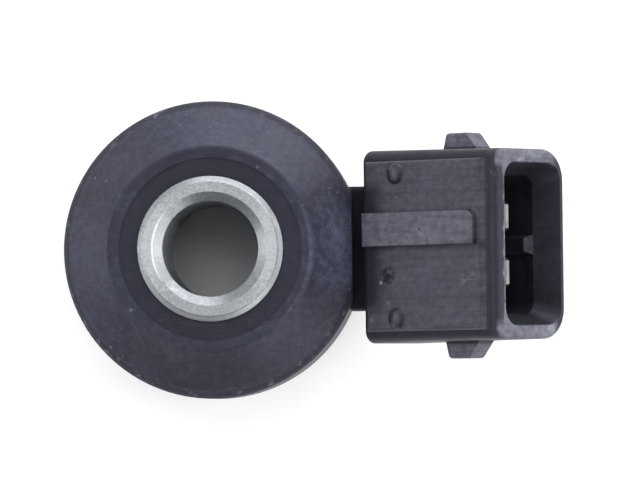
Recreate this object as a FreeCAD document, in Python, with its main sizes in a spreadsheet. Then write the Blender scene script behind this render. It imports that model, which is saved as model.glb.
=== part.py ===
import FreeCAD, Part
import math
import os
import Sketcher
from FreeCAD import Vector

# Flat-response knock sensor: a steel pressure sleeve clamps a piezo stack, and
# one black moulding covers the stack and carries the plug connector.
# Frame: origin on the bore axis at the seating face, +Z along the bolt, +X
# towards the connector. The connector leans up from +X by connector_tilt.

os.makedirs("parts", exist_ok=True)
doc = FreeCAD.newDocument("knock_sensor")

# Driving sizes, in millimetres and degrees.
sizes = [
    ("sleeve_height", 20.0, "from the seating face to the bolt's seat"),
    ("sleeve_diameter", 13.0, "turned barrel that carries the stack"),
    ("bore_diameter", 8.6, "clearance hole for an M8 bolt"),
    ("bore_chamfer", 0.8, "at the bolt's end of the bore"),
    ("foot_chamfer", 0.3, "at the seating end of the bore"),
    ("rim_bevel", 0.5, "round the sleeve's top face"),
    ("flange_diameter", 22.0, "seating flange"),
    ("flange_thickness", 3.0, ""),
    ("flange_bevel", 0.4, "round the seating face"),
    ("seal_depth", 0.35, "grooves that lock the moulding to the steel"),
    ("seal_width", 0.5, ""),
    ("seal_pitch", 1.0, ""),
    ("seal_count", 3, "grooves near the sleeve's top"),
    ("seal_start", 16.1, "height of the first groove"),
    ("flange_seal_start", 2.0, "height of the groove in the flange's rim"),
    ("relief_width", 0.6, "runout of the sleeve's thread"),
    ("relief_depth", 0.5, ""),
    ("tube_wall", 0.4, "insulating tube on the barrel"),
    ("tube_gap", 0.05, "between the tube and the barrel"),
    ("tube_end_gap", 0.1, "between the tube's end and the mass"),
    ("ring_gap", 0.1, "between the tube and the rings round it"),
    ("insulator_diameter", 21.0, "lower and upper insulating discs"),
    ("insulator_thickness", 0.3, ""),
    ("contact_diameter", 20.0, "lower and upper contact discs"),
    ("contact_thickness", 0.3, ""),
    ("piezo_diameter", 20.0, ""),
    ("piezo_thickness", 2.6, ""),
    ("mass_diameter", 21.6, "seismic mass"),
    ("mass_height", 5.0, ""),
    ("mass_gap", 0.15, "between the mass or spring and the barrel"),
    ("spring_diameter", 19.0, "conical disc spring"),
    ("spring_thickness", 0.7, ""),
    ("spring_rise", 0.5, "height of its cone"),
    ("nut_diameter", 18.6, "threaded ring that preloads the stack"),
    ("nut_height", 2.4, ""),
    ("nut_slot_width", 2.2, "slots for the pin wrench"),
    ("nut_slot_depth", 0.9, ""),
    ("nut_slot_count", 4, ""),
    ("body_diameter", 26.8, "round moulding"),
    ("body_base", 1.3, "height of its underside over the seating face"),
    ("body_drop", 0.8, "from the sleeve's top down to the outer top band"),
    ("band_diameter", 18.4, "edge where the top band meets the cone"),
    ("dish_diameter", 16.3, "shallow dish round the sleeve"),
    ("dish_depth", 0.15, ""),
    ("cone_angle", 43.0, "slope of the cone under the horizontal"),
    ("rim_radius", 2.5, "from the cone into the side"),
    ("base_radius", 0.6, "from the side into the underside"),
    ("band_radius", 0.5, "at the top band's edge"),
    ("flat_depth", 0.8, "of the flat on the rim that faces the connector"),
    ("connector_tilt", 38.0, "connector's axis over the horizontal"),
    ("mouth_reach", 28.66, "middle of the mouth from the bore axis"),
    ("mouth_height", 21.7, "middle of the mouth over the seating face"),
    ("shroud_length", 15.2, "along the connector's axis"),
    ("shroud_width", 16.9, "outside, at the mouth"),
    ("shroud_depth", 9.8, "outside, at the mouth"),
    ("shroud_upper_radius", 0.9, ""),
    ("shroud_lower_radius", 2.8, ""),
    ("shroud_draft", 0.75, "outside walls widen towards the rear"),
    ("rear_radius", 0.5, "round the shroud's rear edge"),
    ("lip_radius", 0.35, "round the mouth's outer edge"),
    ("side_lip", 1.15, "wall at the mouth, left and right"),
    ("upper_lip", 1.15, "wall at the mouth, on the panel's side"),
    ("lower_lip", 0.6, "wall at the mouth, on the far side"),
    ("mouth_radius", 1.7, ""),
    ("funnel_length", 2.4, "lead-in from the lip to the well"),
    ("well_width", 12.4, "inside, past the lead-in"),
    ("well_depth", 6.7, ""),
    ("well_radius", 1.2, ""),
    ("floor_setback", 11.0, "from the mouth to the well's floor"),
    ("key_base", 1.8, "coding rib on the well's lower wall"),
    ("key_crest", 1.15, ""),
    ("key_height", 1.35, ""),
    ("panel_width", 15.2, "raised panel on the shroud"),
    ("panel_height", 0.7, "over the shroud at the mouth"),
    ("panel_setback", 1.35, "from the mouth to the panel's edge"),
    ("panel_slope", 0.6, "length of the slope at that edge"),
    ("panel_radius", 0.3, "round the panel's edges"),
    ("panel_end", 14.5, "from the mouth to the panel's rear edge"),
    ("rail_width", 3.0, "rail along the panel"),
    ("rail_height", 0.5, ""),
    ("rail_setback", 1.9, "from the mouth to the rail's end"),
    ("rail_offset", 1.5, "middle of the rail, to the left"),
    ("rail_end_radius", 0.9, ""),
    ("rail_radius", 0.12, "along the rail's top edges"),
    ("nub_diameter", 1.9, "two small domes on the panel"),
    ("nub_height", 0.5, ""),
    ("nub_spread", 12.95, ""),
    ("nub_setback", 10.9, ""),
    ("lug_reach", 10.1, "latch lug's crest from the middle plane"),
    ("lug_thickness", 2.1, ""),
    ("lug_setback", 5.3, "from the mouth to the foot of its ramp"),
    ("lug_ramp", 1.1, ""),
    ("lug_crest", 2.2, ""),
    ("lug_back", 0.7, ""),
    ("lug_radius", 0.3, "round the lug's crest"),
    ("neck_width", 11.1, "bridge from the round body to the connector"),
    ("neck_base", 3.0, "height of its underside"),
    ("neck_top", 13.8, ""),
    ("neck_reach", 16.2, "where its underside turns up"),
    ("neck_overlap", 0.7, "how far it runs into the shroud's walls"),
    ("neck_radius", 0.5, "along its four long edges"),
    ("blade_pitch", 5.0, "terminal blades"),
    ("blade_width", 2.8, ""),
    ("blade_thickness", 0.8, ""),
    ("blade_raise", 0.2, "blades over the connector's axis"),
    ("blade_setback", 2.5, "from the mouth to the blades' tips"),
    ("tip_taper", 0.7, "length of the pointed tip"),
    ("tip_cut", 0.35, "taken off each side of the tip"),
    ("tip_chamfer", 0.22, "taken off the tip's faces"),
    ("tail_width", 1.8, "blades behind the well's floor"),
    ("tail_shoulder", 0.6, "from the well's floor to the narrow tail"),
    ("tail_gap", 0.5, "from the strap's riser out to the tail's end"),
    ("strap_inset", 1.5, "strap's root inside its contact disc"),
    ("strap_gap", 1.2, "between the mass and the strap's riser"),
    ("strap_rise", 0.8, "least height of the riser over the upper contact disc"),
    ("strap_land", 3.2, "welded length along the tail"),
    ("resistor_diameter", 1.5, "shunt resistor between the tails"),
    ("resistor_gap", 0.1, "between its ends and the tails"),
    ("resistor_setback", 12.9, "from the mouth"),
    ("lead_width", 0.6, "its flat leads"),
    ("lead_thickness", 0.3, ""),
    ("lead_overrun", 0.6, "leads past the middles of the tails"),
]

sheet = doc.addObject("Spreadsheet::Sheet", "Sizes")
for row, (alias, value, note) in enumerate(sizes, 1):
    sheet.set(f"A{row}", alias.replace("_", " "))
    sheet.set(f"B{row}", str(value))
    sheet.set(f"C{row}", note)
    sheet.setAlias(f"B{row}", alias)
doc.recompute()


def size(expression):
    """Value of an expression over the sheet's sizes."""
    result = sheet.evalExpression(expression)
    return float(getattr(result, "Value", result))


# Radii and heights that follow from the sizes, kept as expressions.
bore_radius = "Sizes.bore_diameter / 2"
sleeve_radius = "Sizes.sleeve_diameter / 2"
flange_radius = "Sizes.flange_diameter / 2"
core_radius = "(Sizes.bore_diameter + Sizes.sleeve_diameter) / 4"
tube_bore = f"({sleeve_radius} + Sizes.tube_gap)"
ring_bore = f"({tube_bore} + Sizes.tube_wall + Sizes.ring_gap)"
mass_bore = f"({sleeve_radius} + Sizes.mass_gap)"
stack_base = "Sizes.flange_thickness"
lower_contact_base = f"({stack_base} + Sizes.insulator_thickness)"
piezo_base = f"({lower_contact_base} + Sizes.contact_thickness)"
upper_contact_base = f"({piezo_base} + Sizes.piezo_thickness)"
upper_insulator_base = f"({upper_contact_base} + Sizes.contact_thickness)"
mass_base = f"({upper_insulator_base} + Sizes.insulator_thickness)"
spring_base = f"({mass_base} + Sizes.mass_height)"
nut_base = f"({spring_base} + Sizes.spring_rise + Sizes.spring_thickness)"
body_radius = "Sizes.body_diameter / 2"
band_radius = "Sizes.band_diameter / 2"
body_top = "(Sizes.sleeve_height - Sizes.body_drop)"
dish_floor = f"({body_top} - Sizes.dish_depth)"
cone_foot = f"({body_top} - ({body_radius} - {band_radius}) * tan(Sizes.cone_angle))"
sleeve_wall = f"({sleeve_radius} - {bore_radius})"
shroud_top = "Sizes.shroud_depth / 2"
panel_top = f"({shroud_top} + Sizes.panel_height)"
mouth_raise = "((Sizes.lower_lip - Sizes.upper_lip) / 2)"
blade_under = "(Sizes.blade_raise - Sizes.blade_thickness / 2)"
blade_over = "(Sizes.blade_raise + Sizes.blade_thickness / 2)"
strap_top = f"({upper_insulator_base} + Sizes.strap_rise)"
strap_fall = f"(Sizes.mouth_height - {strap_top}) / tan(Sizes.connector_tilt)"
strap_low_reach = f"(Sizes.mouth_reach - {strap_fall})"
strap_reach = f"max(Sizes.mass_diameter / 2 + Sizes.strap_gap; {strap_low_reach})"
tail_reach = f"({strap_reach} + Sizes.tail_gap)"
tail_end = f"(-(Sizes.mouth_reach - {tail_reach}) / cos(Sizes.connector_tilt))"


def mouth_point_x(along, raised):
    """Level X of a point in the connector's frame."""
    return f"(Sizes.mouth_reach + ({along}) * cos(Sizes.connector_tilt)" \
        f" - ({raised}) * sin(Sizes.connector_tilt))"


def mouth_point_z(along, raised):
    """Height of a point in the connector's frame."""
    return f"(Sizes.mouth_height + ({along}) * sin(Sizes.connector_tilt)" \
        f" + ({raised}) * cos(Sizes.connector_tilt))"


def in_mouth_frame(point):
    """A point in the connector's frame: x along it, y sideways, z raised."""
    tilt = math.radians(size("Sizes.connector_tilt"))
    level = point.x - size("Sizes.mouth_reach")
    height = point.z - size("Sizes.mouth_height")
    along = level * math.cos(tilt) + height * math.sin(tilt)
    raised = height * math.cos(tilt) - level * math.sin(tilt)
    return Vector(along, point.y, raised)


def new_body(name):
    body = doc.addObject("PartDesign::Body", name)
    body.Label = name
    return body


def origin_plane(body, role):
    return [item for item in body.Origin.OriginFeatures if item.Role == role][0]


unturned = "rotation(vector(0; 0; 1); 0)"


def new_sketch(body, name, role, offset="vector(0; 0; 0)", turn=unturned):
    """Sketch on one of the body's own origin planes, shifted and turned."""
    sketch = body.newObject("Sketcher::SketchObject", name)
    sketch.AttachmentSupport = (origin_plane(body, role), [""])
    sketch.MapMode = "FlatFace"
    sketch.setExpression("AttachmentOffset", f"placement({offset}; {turn})")
    return sketch


def cross_sketch(body, name, along="0", raised="0"):
    """Sketch across the connector's axis: sideways and raised."""
    level = mouth_point_x(along, raised)
    height = mouth_point_z(along, raised)
    turn = "rotation(vector(-1; 0; 0); Sizes.connector_tilt)"
    return new_sketch(body, name, "YZ_Plane", f"vector(0; {height}; {level})", turn)


def plan_sketch(body, name, raised="0"):
    """Sketch seen square to the connector's top: along and sideways."""
    level = mouth_point_x("0", raised)
    height = mouth_point_z("0", raised)
    turn = "rotation(vector(0; -1; 0); Sizes.connector_tilt)"
    return new_sketch(body, name, "XY_Plane", f"vector({level}; 0; {height})", turn)


def side_sketch(body, name):
    """Sketch in the middle plane: along and raised."""
    turn = "rotation(vector(0; 0; 1); Sizes.connector_tilt)"
    offset = "vector(Sizes.mouth_reach; Sizes.mouth_height; 0)"
    return new_sketch(body, name, "XZ_Plane", offset, turn)


def place(sketch, geometry, end, across, up):
    """Hold one end of a line, or a centre, at two expressions."""
    names = (f"across_{geometry}_{end}", f"up_{geometry}_{end}")
    for kind, name, expression in zip(("DistanceX", "DistanceY"), names, (across, up)):
        index = sketch.addConstraint(
            Sketcher.Constraint(kind, -1, 1, geometry, end, size(expression)))
        sketch.renameConstraint(index, name)
        sketch.setExpression(f"Constraints.{name}", expression)


def polygon(sketch, corners):
    """Closed outline through corners given as pairs of expressions."""
    points = [Vector(size(across), size(up), 0) for across, up in corners]
    first = sketch.GeometryCount
    count = len(points)
    for step, point in enumerate(points):
        sketch.addGeometry(Part.LineSegment(point, points[(step + 1) % count]), False)
    for step in range(count):
        following = first + (step + 1) % count
        sketch.addConstraint(
            Sketcher.Constraint("Coincident", first + step, 2, following, 1))
    for step, (across, up) in enumerate(corners):
        place(sketch, first + step, 1, across, up)


def circle(sketch, radius, across="0", up="0"):
    """Circle with its radius and centre held by expressions."""
    centre = Vector(size(across), size(up), 0)
    number = sketch.addGeometry(Part.Circle(centre, Vector(0, 0, 1), size(radius)), False)
    place(sketch, number, 3, across, up)
    index = sketch.addConstraint(Sketcher.Constraint("Radius", number, size(radius)))
    sketch.renameConstraint(index, f"radius_{number}")
    sketch.setExpression(f"Constraints.radius_{number}", radius)


def rounded_rectangle(sketch, half_width, half_depth, lower, upper):
    """Rectangle about the origin with its own radii below and above."""
    wide = size(half_width)
    deep = size(half_depth)
    low = size(lower)
    high = size(upper)
    runs = [
        ((low - wide, -deep), (wide - low, -deep)),
        ((wide, low - deep), (wide, deep - high)),
        ((wide - high, deep), (high - wide, deep)),
        ((-wide, deep - high), (-wide, low - deep)),
    ]
    turns = [
        ((wide - low, low - deep), low, -0.5),
        ((wide - high, deep - high), high, 0.0),
        ((high - wide, deep - high), high, 0.5),
        ((low - wide, low - deep), low, 1.0),
    ]
    for start, end in runs:
        sketch.addGeometry(Part.LineSegment(Vector(*start, 0), Vector(*end, 0)), False)
    for centre, radius, turn in turns:
        full = Part.Circle(Vector(*centre, 0), Vector(0, 0, 1), radius)
        arc = Part.ArcOfCircle(full, turn * math.pi, (turn + 0.5) * math.pi)
        sketch.addGeometry(arc, False)
    for side in range(4):
        corner = 4 + side
        sketch.addConstraint(Sketcher.Constraint("Tangent", side, 2, corner, 1))
        sketch.addConstraint(Sketcher.Constraint("Tangent", corner, 2, (side + 1) % 4, 1))
    sketch.addConstraint(Sketcher.Constraint("Horizontal", 0))
    sketch.addConstraint(Sketcher.Constraint("Horizontal", 2))
    sketch.addConstraint(Sketcher.Constraint("Vertical", 1))
    sketch.addConstraint(Sketcher.Constraint("Vertical", 3))
    held = [
        ("floor", "DistanceY", 0, f"-({half_depth})"),
        ("right", "DistanceX", 1, half_width),
        ("ceiling", "DistanceY", 2, half_depth),
        ("left", "DistanceX", 3, f"-({half_width})"),
    ]
    for name, kind, line, expression in held:
        index = sketch.addConstraint(
            Sketcher.Constraint(kind, -1, 1, line, 1, size(expression)))
        sketch.renameConstraint(index, name)
        sketch.setExpression(f"Constraints.{name}", expression)
    radii = [("right_low", 4, lower), ("right_high", 5, upper)]
    radii += [("left_high", 6, upper), ("left_low", 7, lower)]
    for name, arc, expression in radii:
        index = sketch.addConstraint(Sketcher.Constraint("Radius", arc, size(expression)))
        sketch.renameConstraint(index, name)
        sketch.setExpression(f"Constraints.{name}", expression)


def feature(body, kind, name, profile):
    item = body.newObject(f"PartDesign::{kind}", name)
    item.Profile = profile
    profile.Visibility = False
    return item


def pad(body, name, profile, length, backward=False, both_ways=False):
    item = feature(body, "Pad", name, profile)
    item.setExpression("Length", length)
    item.Reversed = backward
    if both_ways:
        item.SideType = "Symmetric"
    doc.recompute()
    return item


def turned(body, name, profile, kind="Revolution"):
    """Solid or groove turned about the sketch's upright axis."""
    item = feature(body, kind, name, profile)
    item.ReferenceAxis = (profile, ["V_Axis"])
    item.Angle = 360
    doc.recompute()
    return item


def mirrored(body, name, item):
    """The item with its mirror image across the middle plane."""
    mirror = body.newObject("PartDesign::Mirrored", name)
    mirror.Originals = [item]
    mirror.MirrorPlane = (origin_plane(body, "XZ_Plane"), [""])
    body.Tip = mirror
    doc.recompute()
    return mirror


def edges_where(item, test):
    """Names of a feature's edges whose two ends and middle pass a test."""
    names = []
    for number, edge in enumerate(item.Shape.Edges, 1):
        middle = edge.valueAt((edge.FirstParameter + edge.LastParameter) / 2)
        points = [vertex.Point for vertex in edge.Vertexes] + [middle]
        if all(test(point) for point in points):
            names.append(f"Edge{number}")
    return names


def dressed(body, kind, name, base, test, amount):
    """Fillet or chamfer on the base's edges that pass a test."""
    chosen = edges_where(base, test)
    if not chosen:
        raise RuntimeError(f"{name}: no edge found")
    item = body.newObject(f"PartDesign::{kind}", name)
    item.Base = (base, chosen)
    prop = "Size" if kind == "Chamfer" else "Radius"
    item.setExpression(prop, amount)
    doc.recompute()
    return item


def near(value, expression, slack=0.01):
    return abs(value - size(expression)) < slack


def on_circle(radius, height):
    """Test for points on a level circle about the bore axis."""
    def test(point):
        return near(math.hypot(point.x, point.y), radius) and near(point.z, height)
    return test


def ring(name, outer, inner, base, height):
    """Plain flat ring of the stack."""
    body = new_body(name)
    outline = new_sketch(body, f"{name}_outline", "XY_Plane", f"vector(0; 0; {base})")
    circle(outline, outer)
    circle(outline, inner)
    pad(body, f"{name}_ring", outline, height)
    return body


def pressure_sleeve():
    body = new_body("pressure_sleeve")
    section = new_sketch(body, "sleeve_section", "XZ_Plane")
    polygon(section, [
        (bore_radius, "0"),
        (flange_radius, "0"),
        (flange_radius, "Sizes.flange_thickness"),
        (sleeve_radius, "Sizes.flange_thickness"),
        (sleeve_radius, "Sizes.sleeve_height"),
        (bore_radius, "Sizes.sleeve_height"),
    ])
    item = turned(body, "sleeve_blank", section)
    bore_cut = f"min(Sizes.bore_chamfer; 0.4 * {sleeve_wall})"
    rim_cut = f"min(Sizes.rim_bevel; 0.3 * {sleeve_wall})"
    cuts = [
        ("bolt_chamfer", bore_radius, "Sizes.sleeve_height", bore_cut),
        ("top_bevel", sleeve_radius, "Sizes.sleeve_height", rim_cut),
        ("seat_chamfer", bore_radius, "0", "Sizes.foot_chamfer"),
        ("seat_bevel", flange_radius, "0", "Sizes.flange_bevel"),
    ]
    for name, radius, height, amount in cuts:
        item = dressed(body, "Chamfer", name, item, on_circle(radius, height), amount)
    turned_groove(body, "thread_relief", sleeve_radius, "Sizes.relief_depth",
                  f"{nut_base} - 2 * Sizes.relief_width", "Sizes.relief_width")
    turned_groove(body, "flange_seal", flange_radius, "Sizes.seal_depth",
                  "Sizes.flange_seal_start", "Sizes.seal_width")
    groove = turned_groove(body, "top_seal", sleeve_radius, "Sizes.seal_depth",
                           "Sizes.seal_start", "Sizes.seal_width")
    pattern = body.newObject("PartDesign::LinearPattern", "top_seals")
    pattern.Originals = [groove]
    pattern.Direction = (section, ["V_Axis"])
    pattern.Mode = "Spacing"
    pattern.setExpression("Offset", "Sizes.seal_pitch")
    pattern.setExpression("Occurrences", "Sizes.seal_count")
    body.Tip = pattern
    doc.recompute()
    return body


def turned_groove(body, name, radius, depth, start, width):
    """Square groove cut into a cylinder; it has to take material away."""
    before = body.Shape.Volume
    section = new_sketch(body, f"{name}_section", "XZ_Plane")
    polygon(section, [
        (f"{radius} - {depth}", start),
        (f"{radius} + {depth}", start),
        (f"{radius} + {depth}", f"{start} + {width}"),
        (f"{radius} - {depth}", f"{start} + {width}"),
    ])
    item = turned(body, name, section, "Groove")
    if body.Shape.Volume >= before:
        raise RuntimeError(f"{name} cuts nothing")
    return item


def insulating_tube():
    height = f"{mass_base} - {stack_base} - Sizes.tube_end_gap"
    outer = f"{tube_bore} + Sizes.tube_wall"
    return ring("insulating_tube", outer, tube_bore, stack_base, height)


def insulating_disc(name, base):
    outer = "Sizes.insulator_diameter / 2"
    return ring(name, outer, ring_bore, base, "Sizes.insulator_thickness")


def contact_disc(name, base, side):
    """Contact disc with the strap that climbs to one blade's tail."""
    outer = "Sizes.contact_diameter / 2"
    body = ring(name, outer, ring_bore, base, "Sizes.contact_thickness")
    root = f"{outer} - Sizes.strap_inset"
    front = f"({strap_reach} + Sizes.contact_thickness)"
    lower = f"({blade_under} - Sizes.contact_thickness)"
    land_end = f"({tail_end} + Sizes.strap_land)"

    def weld_line(level, raised):
        rise = f"({level} - {mouth_point_x('0', raised)}) * tan(Sizes.connector_tilt)"
        return f"{mouth_point_z('0', raised)} + {rise}"

    offset = f"vector(0; 0; {-side} * Sizes.blade_pitch / 2)"
    section = new_sketch(body, f"{name}_strap_section", "XZ_Plane", offset)
    polygon(section, [
        (root, base),
        (front, base),
        (front, weld_line(front, lower)),
        (mouth_point_x(land_end, lower), mouth_point_z(land_end, lower)),
        (mouth_point_x(land_end, blade_under), mouth_point_z(land_end, blade_under)),
        (strap_reach, weld_line(strap_reach, blade_under)),
        (strap_reach, f"{base} + Sizes.contact_thickness"),
        (root, f"{base} + Sizes.contact_thickness"),
    ])
    pad(body, f"{name}_strap", section, "Sizes.tail_width", both_ways=True)
    return body


def piezo_ring():
    outer = "Sizes.piezo_diameter / 2"
    return ring("piezo_ring", outer, ring_bore, piezo_base, "Sizes.piezo_thickness")


def seismic_mass():
    outer = "Sizes.mass_diameter / 2"
    return ring("seismic_mass", outer, mass_bore, mass_base, "Sizes.mass_height")


def disc_spring():
    """Conical spring: its outer edge sits on the mass, its inner edge lifts."""
    body = new_body("disc_spring")
    outer = "Sizes.spring_diameter / 2"
    thick = "Sizes.spring_thickness"
    section = new_sketch(body, "spring_section", "XZ_Plane")
    polygon(section, [
        (outer, spring_base),
        (outer, f"{spring_base} + {thick}"),
        (mass_bore, f"{spring_base} + Sizes.spring_rise + {thick}"),
        (mass_bore, f"{spring_base} + Sizes.spring_rise"),
    ])
    turned(body, "spring_cone", section)
    return body


def threaded_ring():
    outer = "Sizes.nut_diameter / 2"
    body = ring("threaded_ring", outer, sleeve_radius, nut_base, "Sizes.nut_height")
    before = body.Shape.Volume
    top = f"{nut_base} + Sizes.nut_height"
    slot = new_sketch(body, "wrench_slot_outline", "XY_Plane", f"vector(0; 0; {top})")
    half = "Sizes.nut_slot_width / 2"
    inner = f"({outer} + {sleeve_radius}) / 2"
    polygon(slot, [
        (inner, f"-{half}"),
        (f"{outer} + {half}", f"-{half}"),
        (f"{outer} + {half}", half),
        (inner, half),
    ])
    cut = feature(body, "Pocket", "wrench_slot", slot)
    cut.setExpression("Length", "Sizes.nut_slot_depth")
    doc.recompute()
    if body.Shape.Volume >= before:
        raise RuntimeError("the wrench slot cuts nothing")
    pattern = body.newObject("PartDesign::PolarPattern", "wrench_slots")
    pattern.Originals = [cut]
    pattern.Axis = (slot, ["N_Axis"])
    pattern.Angle = 360
    pattern.setExpression("Occurrences", "Sizes.nut_slot_count")
    body.Tip = pattern
    doc.recompute()
    return body


def terminal_blade(name, side):
    """Flat blade with a pointed tip and a narrow tail inside the moulding."""
    body = new_body(name)
    middle = f"({side} * Sizes.blade_pitch / 2)"
    tip = "-Sizes.blade_setback"
    shoulder = "-(Sizes.floor_setback + Sizes.tail_shoulder)"
    outline = plan_sketch(body, f"{name}_outline", blade_under)
    stations = [
        (tail_end, "Sizes.tail_width / 2"),
        (shoulder, "Sizes.tail_width / 2"),
        (shoulder, "Sizes.blade_width / 2"),
        (f"{tip} - Sizes.tip_taper", "Sizes.blade_width / 2"),
        (tip, "(Sizes.blade_width / 2 - Sizes.tip_cut)"),
    ]
    right = [(along, f"{middle} - {half}") for along, half in stations]
    left = [(along, f"{middle} + {half}") for along, half in reversed(stations)]
    polygon(outline, right + left)
    blank = pad(body, f"{name}_blank", outline, "Sizes.blade_thickness")

    def on_tip(point):
        spot = in_mouth_frame(point)
        on_face = near(spot.z, blade_under) or near(spot.z, blade_over)
        return near(spot.x, tip) and on_face

    dressed(body, "Chamfer", f"{name}_tip", blank, on_tip, "Sizes.tip_chamfer")
    return body


def shunt_resistor():
    """Round resistor between the tails, its flat leads welded onto them."""
    body = new_body("shunt_resistor")
    along = "-Sizes.resistor_setback"
    middle = f"({blade_over} + Sizes.lead_thickness / 2)"
    outline = side_sketch(body, "resistor_outline")
    circle(outline, "Sizes.resistor_diameter / 2", along, middle)
    length = "Sizes.blade_pitch - Sizes.tail_width - 2 * Sizes.resistor_gap"
    pad(body, "resistor_barrel", outline, length, both_ways=True)
    half = "(Sizes.blade_pitch / 2 + Sizes.lead_overrun)"
    leads = cross_sketch(body, "leads_outline", along)
    polygon(leads, [
        (f"-{half}", blade_over),
        (half, blade_over),
        (half, f"{blade_over} + Sizes.lead_thickness"),
        (f"-{half}", f"{blade_over} + Sizes.lead_thickness"),
    ])
    pad(body, "resistor_leads", leads, "Sizes.lead_width", both_ways=True)
    return body


def moulding():
    """The black moulding before the steel and the stack are taken out of it."""
    case = new_body("round_case")
    rounded_neck(case)
    round_body(case)
    flat_for_the_connector(case)
    connector = new_body("connector")
    shroud(connector)
    panel(connector)
    panel_domes(connector)
    latch_lugs(connector)
    mouth(connector)
    joined = doc.addObject("Part::Fuse", "moulding")
    joined.Base = case
    joined.Tool = connector
    joined.Refine = True
    doc.recompute()
    return joined


def rounded_neck(body):
    """Bridge under the connector, tapering up into the shroud's rear."""
    root = f"({body_radius} - Sizes.rim_radius)"
    rear = "-(Sizes.shroud_length - Sizes.neck_overlap)"
    inside = f"-({shroud_top} - Sizes.neck_overlap)"
    joint = "-(Sizes.floor_setback + Sizes.neck_overlap)"
    rise = f"(Sizes.neck_top - {mouth_point_z(rear, '0')}) * tan(Sizes.connector_tilt)"
    section = new_sketch(body, "neck_section", "XZ_Plane")
    polygon(section, [
        (root, "Sizes.neck_base"),
        ("Sizes.neck_reach", "Sizes.neck_base"),
        (mouth_point_x(joint, inside), mouth_point_z(joint, inside)),
        (f"{mouth_point_x(rear, '0')} - {rise}", "Sizes.neck_top"),
        (root, "Sizes.neck_top"),
    ])
    blank = pad(body, "neck_blank", section, "Sizes.neck_width", both_ways=True)

    def on_long_edge(point):
        on_top = near(point.z, "Sizes.neck_top")
        on_base = near(point.z, "Sizes.neck_base")
        return near(abs(point.y), "Sizes.neck_width / 2") and (on_top or on_base)

    dressed(body, "Fillet", "neck_edges", blank, on_long_edge, "Sizes.neck_radius")


def round_body(body):
    section = new_sketch(body, "body_section", "XZ_Plane")
    polygon(section, [
        (core_radius, "Sizes.body_base"),
        (body_radius, "Sizes.body_base"),
        (body_radius, cone_foot),
        (band_radius, body_top),
        ("Sizes.dish_diameter / 2", body_top),
        ("Sizes.dish_diameter / 2", dish_floor),
        (core_radius, dish_floor),
    ])
    item = turned(body, "body_blank", section)
    rounds = [
        ("body_rim", body_radius, cone_foot, "Sizes.rim_radius"),
        ("body_foot", body_radius, "Sizes.body_base", "Sizes.base_radius"),
        ("body_band", band_radius, body_top, "Sizes.band_radius"),
    ]
    for name, radius, height, amount in rounds:
        item = dressed(body, "Fillet", name, item, on_circle(radius, height), amount)


def flat_for_the_connector(body):
    """Flat on the round body's rim, over the neck, that leaves a narrow slot.

    It stands over the neck by its own depth at least, further in on a wide body.
    """
    before = body.Shape.Volume
    outline = new_sketch(body, "flat_outline", "XY_Plane", "vector(0; 0; Sizes.neck_top)")
    half = "Sizes.neck_width / 2"
    cone_fall = f"({body_top} - Sizes.neck_top - Sizes.flat_depth)"
    cone_level = f"{band_radius} + {cone_fall} / tan(Sizes.cone_angle)"
    level = f"min({body_radius} - Sizes.flat_depth; {cone_level})"
    polygon(outline, [
        (level, f"-{half}"),
        (body_radius, f"-{half}"),
        (body_radius, half),
        (level, half),
    ])
    cut = feature(body, "Pocket", "body_flat", outline)
    cut.Reversed = True
    cut.setExpression("Length", f"{body_top} - Sizes.neck_top")
    doc.recompute()
    if body.Shape.Volume >= before:
        raise RuntimeError("the body's flat cuts nothing")


def shroud(body):
    """Connector block, drafted so that it widens away from the mouth."""
    outline = cross_sketch(body, "shroud_outline")
    rounded_rectangle(outline, "Sizes.shroud_width / 2", shroud_top,
                      "Sizes.shroud_lower_radius", "Sizes.shroud_upper_radius")
    item = pad(body, "shroud_block", outline, "Sizes.shroud_length", backward=True)
    item.setExpression("TaperAngle", "Sizes.shroud_draft")
    doc.recompute()

    def on_lip(point):
        return near(in_mouth_frame(point).x, "0")

    def on_rear(point):
        return near(in_mouth_frame(point).x, "-Sizes.shroud_length")

    item = dressed(body, "Fillet", "lip_edge", item, on_lip, "Sizes.lip_radius")
    dressed(body, "Fillet", "rear_edge", item, on_rear, "Sizes.rear_radius")


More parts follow.
